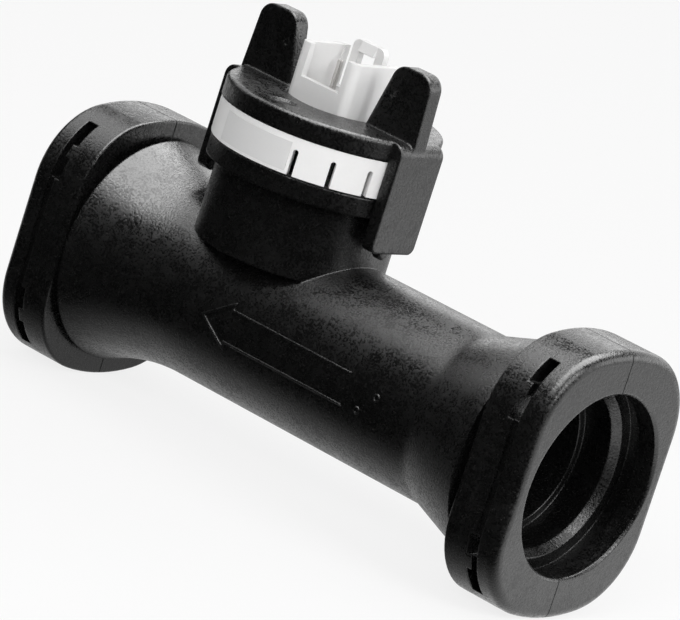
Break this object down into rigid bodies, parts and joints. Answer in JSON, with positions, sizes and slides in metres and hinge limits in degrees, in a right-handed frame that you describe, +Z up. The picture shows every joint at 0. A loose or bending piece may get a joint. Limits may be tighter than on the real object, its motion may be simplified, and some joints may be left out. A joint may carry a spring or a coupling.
{
  "type": "boiler flow sensor",
  "caption": "Straight moulded tube with two clip collars, a vortex sensor head on its side and an upright plug header.",
  "frame": {"origin": "centre of the outlet mouth, on the tube's axis", "axes": "+X along the tube's axis from the outlet to the inlet, +Z up the sensor head, -Y towards the clip slots"},
  "size_m": [0.101, 0.0352, 0.064],
  "materials": {
    "tube_black": "glass-filled nylon, fine moulded grain",
    "cap_black": "glass-filled nylon, fine moulded grain",
    "cover_white": "satin moulded polyester",
    "label_white": "matt bare label",
    "insert_grey": "moulded polyphenylene sulphide",
    "paddle_black": "elastomer coat",
    "seal_black": "EPDM",
    "piezo_ceramic": "fired ceramic",
    "lead_copper": "tinned copper wire",
    "carrier_plastic": "moulded plastic",
    "board_green": "solder mask",
    "chip_black": "moulded epoxy",
    "component_tan": "ceramic",
    "pin_tin": "tin plate"
  },
  "bodies": {
    "root": {"flow_tube": "tube_black", "sensor_insert": "insert_grey", "sensing_paddle": "paddle_black", "piezo_strip": "piezo_ceramic", "insert_seal": "seal_black", "piezo_lead_1": "lead_copper", "piezo_lead_2": "lead_copper", "board_carrier": "carrier_plastic", "circuit_board": "board_green", "signal_chip": "chip_black", "voltage_regulator": "chip_black", "capacitors": "component_tan", "resistors": "chip_black", "contact_pin_1": "pin_tin", "contact_pin_2": "pin_tin", "contact_pin_3": "pin_tin", "contact_pin_4": "pin_tin", "connector_cover": "cover_white", "cover_gasket": "seal_black", "label_pad": "label_white", "head_cap": "cap_black"}
  },
  "joints": []
}
